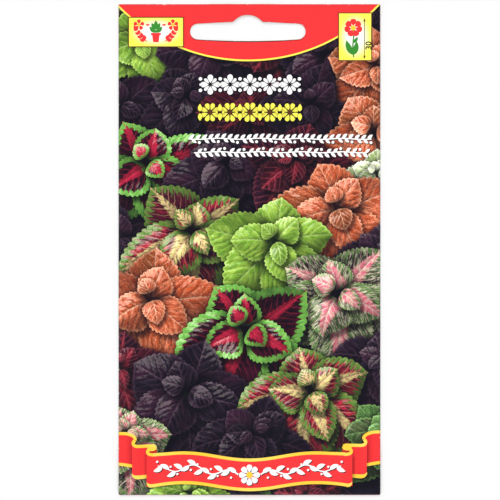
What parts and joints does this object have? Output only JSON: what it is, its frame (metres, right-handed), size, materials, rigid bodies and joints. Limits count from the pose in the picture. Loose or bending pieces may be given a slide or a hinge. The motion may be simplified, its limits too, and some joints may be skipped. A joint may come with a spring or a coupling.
{
  "type": "seed packet",
  "caption": "Flat folded-paper seed packet with a euro-slot hanging hole, a glued lap seam and bottom flap, and a film sachet of seeds inside.",
  "frame": {"origin": "on the resting plane, under the middle of the packet's outline", "axes": "+Z out of the printed front, +Y from the bottom flap to the header with the hanging slot, +X to the right of the front"},
  "size_m": [0.08, 0.15, 0.0026],
  "materials": {
    "printed_paper": "printed, gloss-coated paper",
    "dry_glue": "dry, slightly yellow",
    "sachet_film": "metallised film, satin",
    "seed_coat": "matt, dark brown"
  },
  "bodies": {
    "root": {"envelope": "printed_paper", "header_glue": "dry_glue", "back_seam_glue": "dry_glue", "bottom_flap_glue": "dry_glue", "sachet_back_film": "sachet_film", "sachet_front_film": "sachet_film", "seed_01": "seed_coat", "seed_02": "seed_coat", "seed_03": "seed_coat", "seed_04": "seed_coat", "seed_05": "seed_coat", "seed_06": "seed_coat", "seed_07": "seed_coat", "seed_08": "seed_coat", "seed_09": "seed_coat", "seed_10": "seed_coat"}
  },
  "joints": []
}
